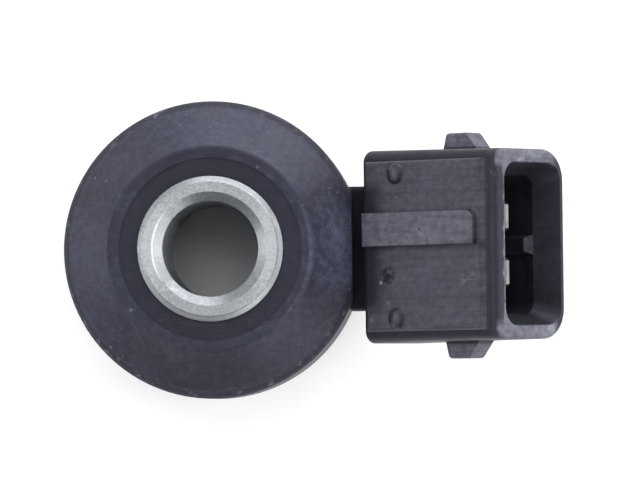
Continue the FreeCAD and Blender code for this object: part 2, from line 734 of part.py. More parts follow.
def panel(body):
    """Raised panel with its off-centre rail."""
    half = "Sizes.panel_width / 2"
    rear = "-Sizes.panel_end"
    front = "-Sizes.panel_setback"
    buried = f"({shroud_top} - Sizes.panel_height)"
    section = side_sketch(body, "panel_section")
    polygon(section, [
        (rear, buried),
        (f"{front} + Sizes.panel_slope", buried),
        (f"{front} + Sizes.panel_slope", shroud_top),
        (front, panel_top),
        (rear, panel_top),
    ])
    item = pad(body, "panel_blank", section, "Sizes.panel_width", both_ways=True)

    def on_panel_edge(point):
        spot = in_mouth_frame(point)
        on_side = near(abs(spot.y), half)
        on_end = near(spot.x, front) or near(spot.x, rear)
        return near(spot.z, panel_top) and (on_side or on_end)

    item = dressed(body, "Fillet", "panel_edges", item, on_panel_edge, "Sizes.panel_radius")

    rail_left = "(Sizes.rail_offset + Sizes.rail_width / 2)"
    rail_right = "(Sizes.rail_offset - Sizes.rail_width / 2)"
    rail_front = "-Sizes.rail_setback"
    outline = plan_sketch(body, "rail_outline", f"{panel_top} - Sizes.rail_height")
    polygon(outline, [
        (rear, rail_right),
        (rail_front, rail_right),
        (rail_front, rail_left),
        (rear, rail_left),
    ])
    item = pad(body, "rail_blank", outline, "2 * Sizes.rail_height")

    def on_rail_end(point):
        spot = in_mouth_frame(point)
        high = spot.z > size(panel_top) - 0.01
        return high and near(spot.x, rail_front) and near(spot.y, rail_left)

    def on_rail_top(point):
        return near(in_mouth_frame(point).z, f"{panel_top} + Sizes.rail_height")

    item = dressed(body, "Fillet", "rail_end", item, on_rail_end, "Sizes.rail_end_radius")
    dressed(body, "Fillet", "rail_edges", item, on_rail_top, "Sizes.rail_radius")


def panel_domes(body):
    """Two small domes on the panel, as the caps of balls sunk into it."""
    radius = "(((Sizes.nub_diameter / 2)^2 + Sizes.nub_height^2) / (2 * Sizes.nub_height))"
    middle = f"({panel_top} + Sizes.nub_height - {radius})"
    level = mouth_point_x("-Sizes.nub_setback", middle)
    height = mouth_point_z("-Sizes.nub_setback", middle)
    ball = body.newObject("PartDesign::AdditiveSphere", "left_dome")
    ball.AttachmentSupport = (origin_plane(body, "XY_Plane"), [""])
    ball.MapMode = "FlatFace"
    offset = f"vector({level}; Sizes.nub_spread / 2; {height})"
    ball.setExpression("AttachmentOffset", f"placement({offset}; {unturned})")
    ball.setExpression("Radius", radius)
    mirrored(body, "domes", ball)


def latch_lugs(body):
    """Ramped lug on each side, where the plug's spring clip snaps in."""
    foot = "Sizes.shroud_width / 2 - Sizes.lug_ramp"
    ramp_end = "-(Sizes.lug_setback + Sizes.lug_ramp)"
    crest_end = f"({ramp_end} - Sizes.lug_crest)"
    outline = plan_sketch(body, "lug_outline", "-Sizes.lug_thickness / 2")
    polygon(outline, [
        ("-Sizes.lug_setback + Sizes.lug_ramp", foot),
        (ramp_end, "Sizes.lug_reach"),
        (crest_end, "Sizes.lug_reach"),
        (f"{crest_end} - Sizes.lug_back", foot),
    ])
    item = pad(body, "left_lug", outline, "Sizes.lug_thickness")
    lugs = mirrored(body, "lugs", item)

    def on_crest(point):
        return near(abs(point.y), "Sizes.lug_reach")

    dressed(body, "Fillet", "lug_crests", lugs, on_crest, "Sizes.lug_radius")


def mouth(body):
    """Lead-in, well and coding rib of the connector."""
    volumes = [body.Shape.Volume]
    well = cross_sketch(body, "well_outline")
    rounded_rectangle(well, "Sizes.well_width / 2", "Sizes.well_depth / 2",
                      "Sizes.well_radius", "Sizes.well_radius")
    cut = feature(body, "Pocket", "well", well)
    cut.setExpression("Length", "Sizes.floor_setback")
    doc.recompute()
    volumes.append(body.Shape.Volume)

    lip = cross_sketch(body, "lip_outline", "0", mouth_raise)
    lip_half_depth = f"({shroud_top} - (Sizes.upper_lip + Sizes.lower_lip) / 2)"
    rounded_rectangle(lip, "Sizes.shroud_width / 2 - Sizes.side_lip", lip_half_depth,
                      "Sizes.mouth_radius", "Sizes.mouth_radius")
    throat = cross_sketch(body, "throat_outline", "-Sizes.funnel_length")
    rounded_rectangle(throat, "Sizes.well_width / 2", "Sizes.well_depth / 2",
                      "Sizes.well_radius", "Sizes.well_radius")
    funnel = feature(body, "SubtractiveLoft", "lead_in", lip)
    funnel.Sections = [throat]
    funnel.Ruled = True
    doc.recompute()
    volumes.append(body.Shape.Volume)
    if not volumes[0] > volumes[1] > volumes[2]:
        raise RuntimeError("the connector's mouth is not cut")

    low = "-Sizes.well_depth / 2"
    key = cross_sketch(body, "key_outline", "-Sizes.funnel_length")
    polygon(key, [
        ("-Sizes.key_base / 2", f"{low} - Sizes.key_height / 2"),
        ("Sizes.key_base / 2", f"{low} - Sizes.key_height / 2"),
        ("Sizes.key_base / 2", low),
        ("Sizes.key_crest / 2", f"{low} + Sizes.key_height"),
        ("-Sizes.key_crest / 2", f"{low} + Sizes.key_height"),
        ("-Sizes.key_base / 2", low),
    ])
    length = "Sizes.floor_setback - Sizes.funnel_length + Sizes.key_height / 2"
    pad(body, "coding_rib", key, length, backward=True)


def stack_space():
    """Round space that the discs, the mass and the spring keep free."""
    body = new_body("stack_space")
    mass_radius = "Sizes.mass_diameter / 2"
    disc_radius = "Sizes.insulator_diameter / 2"
    spring_radius = "Sizes.spring_diameter / 2"
    section = new_sketch(body, "space_section", "XZ_Plane")
    polygon(section, [
        (core_radius, stack_base),
        (disc_radius, stack_base),
        (disc_radius, mass_base),
        (mass_radius, mass_base),
        (mass_radius, spring_base),
        (spring_radius, spring_base),
        (spring_radius, nut_base),
        (core_radius, nut_base),
    ])
    turned(body, "space", section)
    return body


def cut_out(base, inserts):
    """Take each insert out of the moulding, as if it were moulded round it."""
    for insert in inserts:
        cut = doc.addObject("Part::Cut", f"around_{insert.Name}")
        cut.Base = base
        cut.Tool = insert
        doc.recompute()
        base = cut
    return base


sleeve = pressure_sleeve()
lower_contact = contact_disc("lower_contact_disc", lower_contact_base, -1)
upper_contact = contact_disc("upper_contact_disc", upper_contact_base, 1)
nut = threaded_ring()
blades = [terminal_blade("terminal_blade_left", 1), terminal_blade("terminal_blade_right", -1)]
resistor = shunt_resistor()
inserts = [sleeve, stack_space(), nut, lower_contact, upper_contact, *blades, resistor]
housing = cut_out(moulding(), inserts)
housing.Label = "housing"

nodes = [
    housing,
    sleeve,
    insulating_tube(),
    insulating_disc("lower_insulating_disc", stack_base),
    lower_contact,
    piezo_ring(),
    upper_contact,
    insulating_disc("upper_insulating_disc", upper_insulator_base),
    seismic_mass(),
    disc_spring(),
    nut,
    *blades,
    resistor,
]
doc.recompute()

for item in doc.Objects:
    if "Invalid" in item.State or "Error" in item.State:
        raise RuntimeError(f"{item.Label} failed: {item.State}")
for node in nodes:
    shape = node.Shape
    if shape.isNull() or not shape.isValid() or len(shape.Solids) != 1:
        raise RuntimeError(f"{node.Label} is not one valid solid")
for node in nodes:
    node.Shape.exportStep(f"parts/{node.Label}.step")
    print(f"{node.Label:24s} {node.Shape.Volume:9.2f} mm3")
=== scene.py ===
import math

import bpy
from mathutils import Matrix, Vector

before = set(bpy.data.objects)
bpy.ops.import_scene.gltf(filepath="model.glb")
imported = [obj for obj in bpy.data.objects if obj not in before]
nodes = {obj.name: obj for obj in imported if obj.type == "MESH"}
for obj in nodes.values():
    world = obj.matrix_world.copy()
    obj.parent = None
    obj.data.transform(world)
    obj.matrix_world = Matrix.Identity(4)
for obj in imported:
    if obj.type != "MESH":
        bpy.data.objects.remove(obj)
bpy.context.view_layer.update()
scene = bpy.context.scene
print("frame loaded:", len(nodes), "pieces")


# Small helpers for building node trees

def addNode(tree, kind, inputs, **options):
    made = tree.nodes.new("ShaderNode" + kind)
    for name, value in options.items():
        setattr(made, name, value)
    for name, value in inputs.items():
        if isinstance(value, bpy.types.NodeSocket):
            tree.links.new(value, made.inputs[name])
        else:
            made.inputs[name].default_value = value
    return made


def calculate(tree, operation, first, second=0.0):
    return addNode(tree, "Math", {0: first, 1: second}, operation=operation).outputs[0]


def combine(tree, operation, values):
    total = values[0]
    for value in values[1:]:
        total = calculate(tree, operation, total, value)
    return total


def product(tree, *values):
    return combine(tree, "MULTIPLY", values)


def added(tree, *values):
    return combine(tree, "ADD", values)


def largest(tree, *values):
    return combine(tree, "MAXIMUM", values)


def lessened(tree, value, *shares):  # a value, less the shares of it multiplied together
    return product(tree, value, calculate(tree, "SUBTRACT", 1.0, product(tree, *shares)))


def fade(tree, value, pair):  # 0 at the pair's first value, 1 at its second, smooth between
    inputs = {"Value": value, "From Min": pair[0], "From Max": pair[1]}
    return addNode(tree, "MapRange", inputs, interpolation_type="SMOOTHSTEP").outputs["Result"]


def span(tree, share, pair):  # stretches 0..1 to the pair
    inputs = {"Value": share, "To Min": pair[0], "To Max": pair[1]}
    return addNode(tree, "MapRange", inputs).outputs["Result"]


def nearValue(tree, value, middle, width):  # 1 at middle, fading to 0 at width away
    away = calculate(tree, "ABSOLUTE", calculate(tree, "SUBTRACT", value, middle))
    return fade(tree, away, (width, 0.0))


def blendValue(tree, share, first, second):
    inputs = {"Factor": share, "A": first, "B": second}
    return addNode(tree, "Mix", inputs, data_type="FLOAT").outputs["Result"]


def blendColour(tree, share, first, second):
    inputs = {0: share, 6: first, 7: second}  # the Mix node's sockets for a factor and two colours
    return addNode(tree, "Mix", inputs, data_type="RGBA").outputs[2]


def noise(tree, place, scale, detail=3.0, roughness=0.5, distortion=0.0):
    inputs = {"Vector": place, "Scale": scale, "Detail": detail}
    inputs.update({"Roughness": roughness, "Distortion": distortion})
    return addNode(tree, "TexNoise", inputs).outputs["Fac"]


def patches(tree, place, pair, **pattern):  # noise cut into patches with soft edges
    return fade(tree, noise(tree, place, **pattern), pair)


def specks(tree, place, pair, scale):  # small round marks, one in each cell
    cells = addNode(tree, "TexVoronoi", {"Vector": place, "Scale": scale})
    return fade(tree, cells.outputs["Distance"], pair)


def stretched(tree, place, scale, turn):
    return addNode(tree, "Mapping", {"Vector": place, "Rotation": turn, "Scale": scale}).outputs[0]


def bump(tree, height, depth, below=None):
    inputs = {"Height": height, "Distance": depth, "Strength": 1.0}
    if below is not None:
        inputs["Normal"] = below
    return addNode(tree, "Bump", inputs).outputs["Normal"]


def reach(tree, place, direction):  # how far a point lies in a direction
    inputs = {0: place, 1: direction}
    return addNode(tree, "VectorMath", inputs, operation="DOT_PRODUCT").outputs["Value"]


def roundTheBore(tree, place):  # radius from the bore's axis, and height
    parts = addNode(tree, "SeparateXYZ", {"Vector": place}).outputs
    flat = addNode(tree, "CombineXYZ", {"X": parts["X"], "Y": parts["Y"]}).outputs[0]
    radius = addNode(tree, "VectorMath", {0: flat}, operation="LENGTH").outputs["Value"]
    return radius, parts["Z"]


def sector(tree, place, radius, towards, pair):  # 1 where a ring lies in a direction
    return fade(tree, calculate(tree, "DIVIDE", reach(tree, place, towards), radius), pair)


def turnedRings(tree, radius, height, pitch):  # fine rings that a lathe leaves
    along = added(tree, radius, height)
    return calculate(tree, "SINE", product(tree, along, 2 * math.pi / pitch))


def newMaterial(name, **constants):
    material = bpy.data.materials.new(name)
    material.use_nodes = True
    tree = material.node_tree
    surface = tree.nodes["Principled BSDF"]
    for socket, value in constants.items():
        surface.inputs[socket.replace("_", " ")].default_value = value
    place = addNode(tree, "TexCoord", {}).outputs["Object"]
    return material, tree, surface, place


def join(tree, surface, colour, roughness, normal):
    tree.links.new(colour, surface.inputs["Base Color"])
    tree.links.new(roughness, surface.inputs["Roughness"])
    tree.links.new(normal, surface.inputs["Normal"])


# The moulding's finish goes by places on it, in metres. A pair is where a share is 0 and where it is
# 1, so a pair that starts with its larger number runs down, or else it is the two ends that a share
# is stretched to. One value holds both wear and painted light: it is 0 where a face is black and 1
# where a face is palest, from rubbing and from painted highlights, and painted shade lowers it.

# Round body: its places are radii from the bore's axis. The band is the flat
# ring round the dish, and the cone falls from it to the rounded rim. East is
# towards the connector.

roundBody = {
    "wearAndPaintedLight": {
        "dish": 0.05, "band": 0.13, "cone": 0.18, "bandEdgeHighlight": 0.22, "dishLine": 0.10,
        "paintedLightByConnector": 1.6, "bandBack": 0.5, "front": 0.27, "rim": 0.40,
    },
    "outside": (0.0134, 0.0137),
    "overDish": (0.0078, 0.0086),
    "insideBand": (0.0092, 0.0090),
    "overBand": (0.0091, 0.0093),
    "onCone": (0.0092, 0.0112),
    "onRim": (0.0126, 0.0131),
    "rimHeight": (0.0132, 0.0142),
    "upperHeight": (0.0150, 0.0155),
    "beyondFlat": (0.01255, 0.01265),
    "facingEast": (0.0085, 0.0112),
    "facingAside": (0.0062, 0.0020),
    "dishLineRadius": 0.0084,
    "bandLineRadius": 0.0090,
    "rimRadius": 0.0131,
    "lineWidth": 0.0003,
    "rimWidth": 0.0005,
    "backSector": {"towards": (0.0, 1.0, 0.0), "pair": (0.5, 0.95)},
    "frontSector": {"towards": (0.0, -1.0, 0.0), "pair": (0.40, 0.85)},
    "bandLineSector": {"towards": (0.978, -0.208, 0.0), "pair": (0.72, 0.92)},
    "dishLineBreaks": {"pair": (0.45, 0.65), "scale": 800.0, "roughness": 0.6},
}


def beyondTheFlat(tree, at):  # painted shade on the ledge between the cone's flat and the connector
    return fade(tree, at["east"], roundBody["beyondFlat"])


def bodyWearAndPaintedLight(tree, at):
    s, wearAndPaintedLight = roundBody, roundBody["wearAndPaintedLight"]
    place, radius = at["place"], at["radius"]
    flat = span(tree, fade(tree, radius, s["overDish"]), (wearAndPaintedLight["dish"], wearAndPaintedLight["band"]))
    # The flat is darker towards the back.
    back = sector(tree, place, radius, **s["backSector"])
    flat = lessened(tree, flat, back, fade(tree, radius, s["insideBand"]), wearAndPaintedLight["bandBack"])
    cone = product(tree, fade(tree, radius, s["overBand"]), wearAndPaintedLight["cone"] - wearAndPaintedLight["band"])
    # Painted highlight along the band's edge on the side towards the connector, where the edge is
    # also rubbed.
    bandEdgeHighlight = product(
        tree, nearValue(tree, radius, s["bandLineRadius"], s["lineWidth"]),
        sector(tree, place, radius, **s["bandLineSector"]), wearAndPaintedLight["bandEdgeHighlight"])
    dishLine = product(
        tree, nearValue(tree, radius, s["dishLineRadius"], s["lineWidth"]),
        patches(tree, place, **s["dishLineBreaks"]), wearAndPaintedLight["dishLine"])
    total = added(tree, flat, cone, bandEdgeHighlight, dishLine)
    # Painted shade: the cone is darker on its front side.
    front = sector(tree, place, radius, **s["frontSector"])
    total = lessened(tree, total, front, fade(tree, radius, s["onCone"]), wearAndPaintedLight["front"])
    # Painted shade: the rounded rim is darker.
    total = lessened(tree, total, fade(tree, radius, s["onRim"]), wearAndPaintedLight["rim"])
    # Painted light: the cone is made paler where it faces the connector, which shades it.
    byConnectorLight = product(
        tree, fade(tree, at["east"], s["facingEast"]), fade(tree, at["aside"], s["facingAside"]),
        wearAndPaintedLight["paintedLightByConnector"])
    total = product(tree, total, added(tree, byConnectorLight, 1.0))
    # Painted shade: the ledge between the cone's flat and the connector is left black.
    return lessened(tree, total, beyondTheFlat(tree, at))


# Connector, which leans upward: its places are along its axis, 0 at the mouth
# and less towards the rear, to the side of its middle, aside from it to either
# side, and raised over its axis. A spot lies at its along and its across.

connector = {
    "mouth": (0.02866, 0.0, 0.0217),
    "tilt": math.radians(38.0),
    "wearAndPaintedLight": {
        "ledge": 0.008, "panel": 0.24, "rail": 0.54, "collar": 0.05, "lug": 0.66, "lip": 0.95,
        "inside": 0.07, "deepInsideShade": 0.04, "keyEndHighlight": 0.18,
    },
    # Painted shade on the panel by the neck, along sink lines, under the rail and round the dome; the
    # smudge and the rail spot are grime.
    "shade": {
        "nearNeck": 0.9, "sinkLine": 0.3, "dome": 0.75, "underRail": 0.85, "smudge": 0.9,
        "railSpot": 0.7,
    },
    "overPanelFoot": (0.0051, 0.0053),
    "overRailFoot": (0.0059, 0.0061),
    "onPanel": (0.0060, 0.0058),
    "onTop": (0.0052, 0.0053),
    "overLugFoot": (0.0087, 0.0089),
    "overCollar": (-0.0013, -0.0009),
    "aheadOfRear": (-0.0153, -0.0152),
    "behindRear": (-0.0153, -0.0154),
    "neckAlong": (-0.0117, -0.0140),
    "neckAside": (0.0064, 0.0046),
    "underWall": (0.0045, 0.0044),
    "overWall": (0.0043, 0.0045),
    "betweenWalls": (0.0078, 0.0077),
    "beforeDeep": (-0.0034, -0.0026),
    "deep": (-0.0030, -0.0038),
    "underKeyTop": (-0.0018, -0.0019),
    "onKey": (0.0011, 0.0010),
    "atMouth": (-0.0003, 0.0),
    "overLowerLip": (-0.0040, -0.0030),
    "sideLip": (0.0066, 0.0074),
    "sideLipShare": 0.95,
    "underUpperLip": (0.0041, 0.0038),
    "scuffAlong": (-0.0016, -0.0006),
    "scuffSide": (0.0045, 0.0068),
    "keyFace": -0.0024,
    "keyFaceWidth": 0.0001,
    "sinkLine": 0.0047,
    "lineWidth": 0.0003,
    "railSide": -0.0001,
    "railShadeWidth": 0.0006,
    "lipWander": {"scale": 500.0, "detail": 4.0, "roughness": 0.7},
    "lipWanderReach": (-0.0006, 0.0006),
    "smear": {"pair": (0.40, 0.52), "scale": 1100.0, "detail": 4.0, "roughness": 0.7},
    "spotCore": 0.4,
    "domeFoot": {"along": -0.0110, "across": 0.00645, "from": "aside", "radius": 0.00082},
    "domeShade": {"along": -0.0114, "across": 0.0064, "from": "aside", "radius": 0.0007},
    "smudge": {"along": -0.0120, "across": -0.0026, "from": "side", "radius": 0.0012},
    "railSpot": {"along": -0.00784, "across": 0.00143, "from": "side", "radius": 0.00022},
    "paleSpot": {"along": -0.0127, "across": -0.00325, "from": "side", "radius": 0.00022},
    "palePatch": {"along": -0.0028, "across": -0.0025, "from": "side", "radius": 0.0016},
}


def awayFrom(tree, at, spot):  # distance from a spot's middle, over the panel
    here = addNode(tree, "CombineXYZ", {"X": at["along"], "Y": at[spot["from"]]}).outputs[0]
    inputs = {0: here, 1: (spot["along"], spot["across"], 0.0)}
    return addNode(tree, "VectorMath", inputs, operation="DISTANCE").outputs["Value"]


def spotShare(tree, at, name):  # 1 in the middle of a spot, 0 at its edge
    spot = connector[name]
    pair = (spot["radius"], connector["spotCore"] * spot["radius"])
    return fade(tree, awayFrom(tree, at, spot), pair)


def smudgeShare(tree, at):
    smear = patches(tree, at["place"], **connector["smear"])
    return product(tree, spotShare(tree, at, "smudge"), smear)


def neckCorner(tree, at):  # painted shade on the end of the panel over the neck
    s = connector
    return product(
        tree, fade(tree, at["along"], s["neckAlong"]), fade(tree, at["aside"], s["neckAside"]),
        fade(tree, at["raised"], s["onPanel"]))


def withinTheWalls(tree, at):
    s = connector
    return product(
        tree, fade(tree, at["raised"], s["underWall"]), fade(tree, at["aside"], s["betweenWalls"]))


def panelShade(tree, at):  # how much of the top's tone is taken away: painted shade at the end by the neck, along sink lines, under the rail and round the dome, and grime in a smudge and a spot on the rail
    s, shade = connector, connector["shade"]
    onPanel = fade(tree, at["raised"], s["onPanel"])
    # Painted shade of shallow sink marks: a faint darker line along each side of the panel.
    sinkLine = nearValue(tree, at["aside"], s["sinkLine"], s["lineWidth"])
    # Painted shadow of the rail on the panel beside it.
    underRail = nearValue(tree, at["side"], s["railSide"], s["railShadeWidth"])
    # Painted shade round the foot of the dome.
    foot = s["domeFoot"]
    domeFoot = nearValue(tree, awayFrom(tree, at, foot), foot["radius"], s["lineWidth"])
    return largest(
        tree,
        product(tree, neckCorner(tree, at), shade["nearNeck"]),
        product(tree, sinkLine, onPanel, shade["sinkLine"]),
        product(tree, underRail, onPanel, shade["underRail"]),
        product(tree, largest(tree, domeFoot, spotShare(tree, at, "domeShade")), shade["dome"]),
        product(tree, smudgeShare(tree, at), shade["smudge"]),
        product(tree, spotShare(tree, at, "railSpot"), shade["railSpot"]))


def lipShare(tree, at):  # pale faces round the mouth, worn and with a painted highlight: the side faces, and a ragged line along the top edge
    s = connector
    wander = span(tree, noise(tree, at["place"], **s["lipWander"]), s["lipWanderReach"])
    ragged = fade(tree, added(tree, at["raised"], wander), s["underUpperLip"])
    share = blendValue(tree, fade(tree, at["aside"], s["sideLip"]), ragged, s["sideLipShare"])
    return product(
        tree, fade(tree, at["along"], s["atMouth"]), fade(tree, at["raised"], s["overLowerLip"]),
        share)


def connectorWearAndPaintedLight(tree, at):
    s, wearAndPaintedLight = connector, connector["wearAndPaintedLight"]
    along, raised, aside = at["along"], at["raised"], at["aside"]
    panel = span(tree, fade(tree, raised, s["overPanelFoot"]), (wearAndPaintedLight["ledge"], wearAndPaintedLight["panel"]))
    rail = product(tree, fade(tree, raised, s["overRailFoot"]), wearAndPaintedLight["rail"] - wearAndPaintedLight["panel"])
    top = lessened(tree, added(tree, panel, rail), panelShade(tree, at))
    collar = product(tree, fade(tree, along, s["overCollar"]), wearAndPaintedLight["collar"])
    lugs = product(tree, fade(tree, aside, s["overLugFoot"]), wearAndPaintedLight["lug"])
    # Painted shade: the walls deep in the mouth are darker than those near it.
    inside = span(tree, fade(tree, along, s["beforeDeep"]), (wearAndPaintedLight["deepInsideShade"], wearAndPaintedLight["inside"]))
    # Painted highlight on the end face of the key.
    keyFace = nearValue(tree, along, s["keyFace"], s["keyFaceWidth"])
    onKey = product(tree, fade(tree, raised, s["underKeyTop"]), fade(tree, aside, s["onKey"]))
    inside = largest(tree, inside, product(tree, keyFace, onKey, wearAndPaintedLight["keyEndHighlight"]))
    total = largest(tree, top, collar, lugs, product(tree, withinTheWalls(tree, at), inside))
    # The lip's paleness is rubbed wear and a painted highlight.
    total = blendValue(tree, lipShare(tree, at), total, wearAndPaintedLight["lip"])
    return product(tree, total, fade(tree, along, s["aheadOfRear"]))


# Black moulding of the housing: glass-filled plastic, semi-matt. Sheltered faces are deep black, and
# handled ones are rubbed grey in clouds, a little bluer on the round body and with flow lines on the
# connector. The same black and grey also carry painted light: painted shade on the round body's front
# side and rim, on the ledge by the connector, at the panel's end over the neck, under the rail, round
# the dome and deep in the mouth, and painted highlights beside the connector, on the band's edge, on
# the lip and on the key's end. Light marks lie on the worn faces: flecks, dust, scratches and scuffs.

moulding = {
    "deep": (0.0036, 0.0037, 0.0047, 1.0),
    "wornAndLit": (0.118, 0.119, 0.146, 1.0),
    "wornAndLitBody": (0.106, 0.109, 0.174, 1.0),
    "bruise": (0.30, 0.30, 0.36, 1.0),
    "gloss": (0.71, 0.73, 1.0, 1.0),
    "glossLevel": 0.43,
    "ior": 1.5,
    "cloud": {"scale": 330.0, "detail": 4.0, "roughness": 0.62, "distortion": 0.5},
    "broadCloud": {"scale": 130.0, "roughness": 0.6, "distortion": 0.6},
    "broadShare": 0.35,
    "mottle": {"scale": 1500.0, "roughness": 0.6},
    "cloudEdge": (0.3, 0.7),
    "cloudWear": (0.72, 1.22),
    "mottleWear": (0.66, 1.32),
    "flow": {"pair": (0.25, 0.75), "scale": 1.0, "detail": 4.0, "roughness": 0.6},
    "flowStretch": (170.0, 2300.0, 170.0),
    "flowOnBody": 0.5,
    "flowWear": (0.70, 1.30),
    "tinge": {"pair": (0.4, 0.6), "scale": 150.0, "detail": 2.0},
    "tingeShare": (0.45, 1.0),
    "rough": (0.42, 0.56),
    "bruiseRough": 0.3,
    "shelteredRough": 0.86,
    "rimShelter": 0.85,
    "wave": {"scale": 420.0, "detail": 2.0},
    "waveDepth": 0.000022,
    "grain": {"scale": 2600.0, "detail": 4.0, "roughness": 0.6},
    "grainDepth": 0.000006,
}

marks = {
    "handled": (0.05, 0.2),
    "flecks": {"pair": (0.2, 0.06), "scale": 900.0},
    "fleckSpread": {"pair": (0.52, 0.66), "scale": 210.0},
    "fleckShare": (0.42, 0.20),
    "dust": {"pair": (0.24, 0.08), "scale": 1900.0},
    "dustSpread": {"pair": (0.46, 0.62), "scale": 300.0},
    "dustShare": 0.16,
    "ragged": {"pair": (0.54, 0.70), "scale": 1100.0, "detail": 4.0, "roughness": 0.7},
    "rimShare": 0.3,
    "scratchTurns": (0.5, 1.9),
    "scratchStretch": (160.0, 5200.0, 160.0),
    "scratchNoise": {"scale": 1.0, "detail": 2.0},
    "scratchMiddle": 0.5,
    "scratchWidth": 0.012,
    "scratchSpread": {"pair": (0.56, 0.66), "scale": 260.0},
    "scratchShare": 0.10,
    "lipSpread": {"pair": (0.48, 0.70), "scale": 620.0, "detail": 4.0, "roughness": 0.6},
    "lipShare": 0.6,
    "scuffShare": 0.3,
    "palePatchShare": 0.35,
    "paleSpotShare": 0.5,
}


def placesOnMoulding(tree, place):  # the measures that the finish goes by
    radius, height = roundTheBore(tree, place)
    lean, rise = math.cos(connector["tilt"]), math.sin(connector["tilt"])
    inputs = {0: place, 1: connector["mouth"]}
    fromMouth = addNode(tree, "VectorMath", inputs, operation="SUBTRACT").outputs[0]
    side = reach(tree, fromMouth, (0.0, 1.0, 0.0))
    outside = fade(tree, radius, roundBody["outside"])
    return {
        "place": place,
        "radius": radius,
        "height": height,
        "east": reach(tree, place, (1.0, 0.0, 0.0)),
        "along": reach(tree, fromMouth, (lean, 0.0, rise)),
        "side": side,
        "aside": calculate(tree, "ABSOLUTE", side),
        "raised": reach(tree, fromMouth, (-rise, 0.0, lean)),
        "outside": outside,
        "onBody": calculate(tree, "SUBTRACT", 1.0, outside),
    }


def shelterShare(tree, at):  # faces that hardly shine: the neck, the walls deep in the mouth, the painted-shade places on the panel's end and on the ledge by the cone's flat, and a grimy smudge
    s = connector
    behind = fade(tree, at["along"], s["behindRear"])
    deep = product(tree, fade(tree, at["along"], s["deep"]), withinTheWalls(tree, at))
    onConnector = largest(tree, behind, deep, neckCorner(tree, at), smudgeShare(tree, at))
    return blendValue(tree, at["outside"], beyondTheFlat(tree, at), onConnector)


def onTheRim(tree, at):  # the rounded rim of the body
    onRim = fade(tree, at["radius"], roundBody["onRim"])
    return product(tree, onRim, fade(tree, at["height"], roundBody["rimHeight"]), at["onBody"])


def scratchShare(tree, at, turn, upper):
    s = marks
    drawn = stretched(tree, at["place"], s["scratchStretch"], (0.0, 0.0, turn))
    drawn = noise(tree, drawn, **s["scratchNoise"])
    line = nearValue(tree, drawn, s["scratchMiddle"], s["scratchWidth"])
    rolled = stretched(tree, at["place"], (1.0, 1.0, 1.0), (turn, 0.0, 0.0))
    return product(tree, line, patches(tree, rolled, **s["scratchSpread"]), upper, s["scratchShare"])


def bruiseShare(tree, at, wearAndPaintedLight, sheltered):  # light marks on the worn faces
    s, place = marks, at["place"]
    handled = fade(tree, wearAndPaintedLight, s["handled"])
    ragged = patches(tree, place, **s["ragged"])
    onTop = fade(tree, at["raised"], connector["onTop"])
    upperBody = fade(tree, at["height"], roundBody["upperHeight"])
    upper = blendValue(tree, at["outside"], upperBody, onTop)

    flecks = product(
        tree, specks(tree, place, **s["flecks"]), patches(tree, place, **s["fleckSpread"]),
        handled, span(tree, at["outside"], s["fleckShare"]))
    dust = product(
        tree, specks(tree, place, **s["dust"]), patches(tree, place, **s["dustSpread"]),
        handled, at["onBody"], s["dustShare"])
    rimMarks = product(
        tree, nearValue(tree, at["radius"], roundBody["rimRadius"], roundBody["rimWidth"]),
        fade(tree, at["height"], roundBody["rimHeight"]), ragged, s["rimShare"])
    lipMarks = product(
        tree, lipShare(tree, at), patches(tree, place, **s["lipSpread"]), s["lipShare"])
    scuff = product(
        tree, fade(tree, at["along"], connector["scuffAlong"]),
        fade(tree, at["side"], connector["scuffSide"]),
        fade(tree, at["raised"], connector["overWall"]), ragged, s["scuffShare"])
    palePatch = product(tree, spotShare(tree, at, "palePatch"), ragged, onTop, s["palePatchShare"])
    paleSpot = product(tree, spotShare(tree, at, "paleSpot"), onTop, s["paleSpotShare"])
    scratches = [scratchShare(tree, at, turn, upper) for turn in s["scratchTurns"]]
    total = largest(tree, flecks, dust, rimMarks, lipMarks, scuff, palePatch, *scratches)
    return largest(tree, lessened(tree, total, sheltered), paleSpot)


def mouldingMaterial():
    s = moulding
    material, tree, surface, place = newMaterial(
        "blackMoulding", Metallic=0.0, IOR=s["ior"], Specular_Tint=s["gloss"],
        Specular_IOR_Level=s["glossLevel"])
    at = placesOnMoulding(tree, place)
    cloud = noise(tree, place, **s["cloud"])
    cloud = blendValue(tree, s["broadShare"], cloud, noise(tree, place, **s["broadCloud"]))
    cloud = fade(tree, cloud, s["cloudEdge"])
    mottle = fade(tree, noise(tree, place, **s["mottle"]), s["cloudEdge"])
    flow = patches(tree, stretched(tree, place, s["flowStretch"], (0.0, 0.0, 0.0)), **s["flow"])
    flow = blendValue(tree, at["outside"], s["flowOnBody"], flow)
    wearAndPaintedLight = blendValue(tree, at["outside"], bodyWearAndPaintedLight(tree, at), connectorWearAndPaintedLight(tree, at))
    wearAndPaintedLight = product(
        tree, wearAndPaintedLight, span(tree, cloud, s["cloudWear"]), span(tree, mottle, s["mottleWear"]),
        span(tree, flow, s["flowWear"]))

    tinge = span(tree, patches(tree, place, **s["tinge"]), s["tingeShare"])
    wornAndLit = blendColour(tree, product(tree, at["onBody"], tinge), s["wornAndLit"], s["wornAndLitBody"])
    sheltered = shelterShare(tree, at)
    bruises = bruiseShare(tree, at, wearAndPaintedLight, sheltered)
    colour = blendColour(tree, bruises, blendColour(tree, wearAndPaintedLight, s["deep"], wornAndLit), s["bruise"])

    rough = added(tree, span(tree, cloud, s["rough"]), product(tree, bruises, s["bruiseRough"]))
    sheltered = largest(tree, sheltered, product(tree, onTheRim(tree, at), s["rimShelter"]))
    rough = blendValue(tree, sheltered, rough, s["shelteredRough"])
    normal = bump(tree, noise(tree, place, **s["wave"]), s["waveDepth"])
    normal = bump(tree, noise(tree, place, **s["grain"]), s["grainDepth"], normal)
    join(tree, surface, colour, rough, normal)
    return material
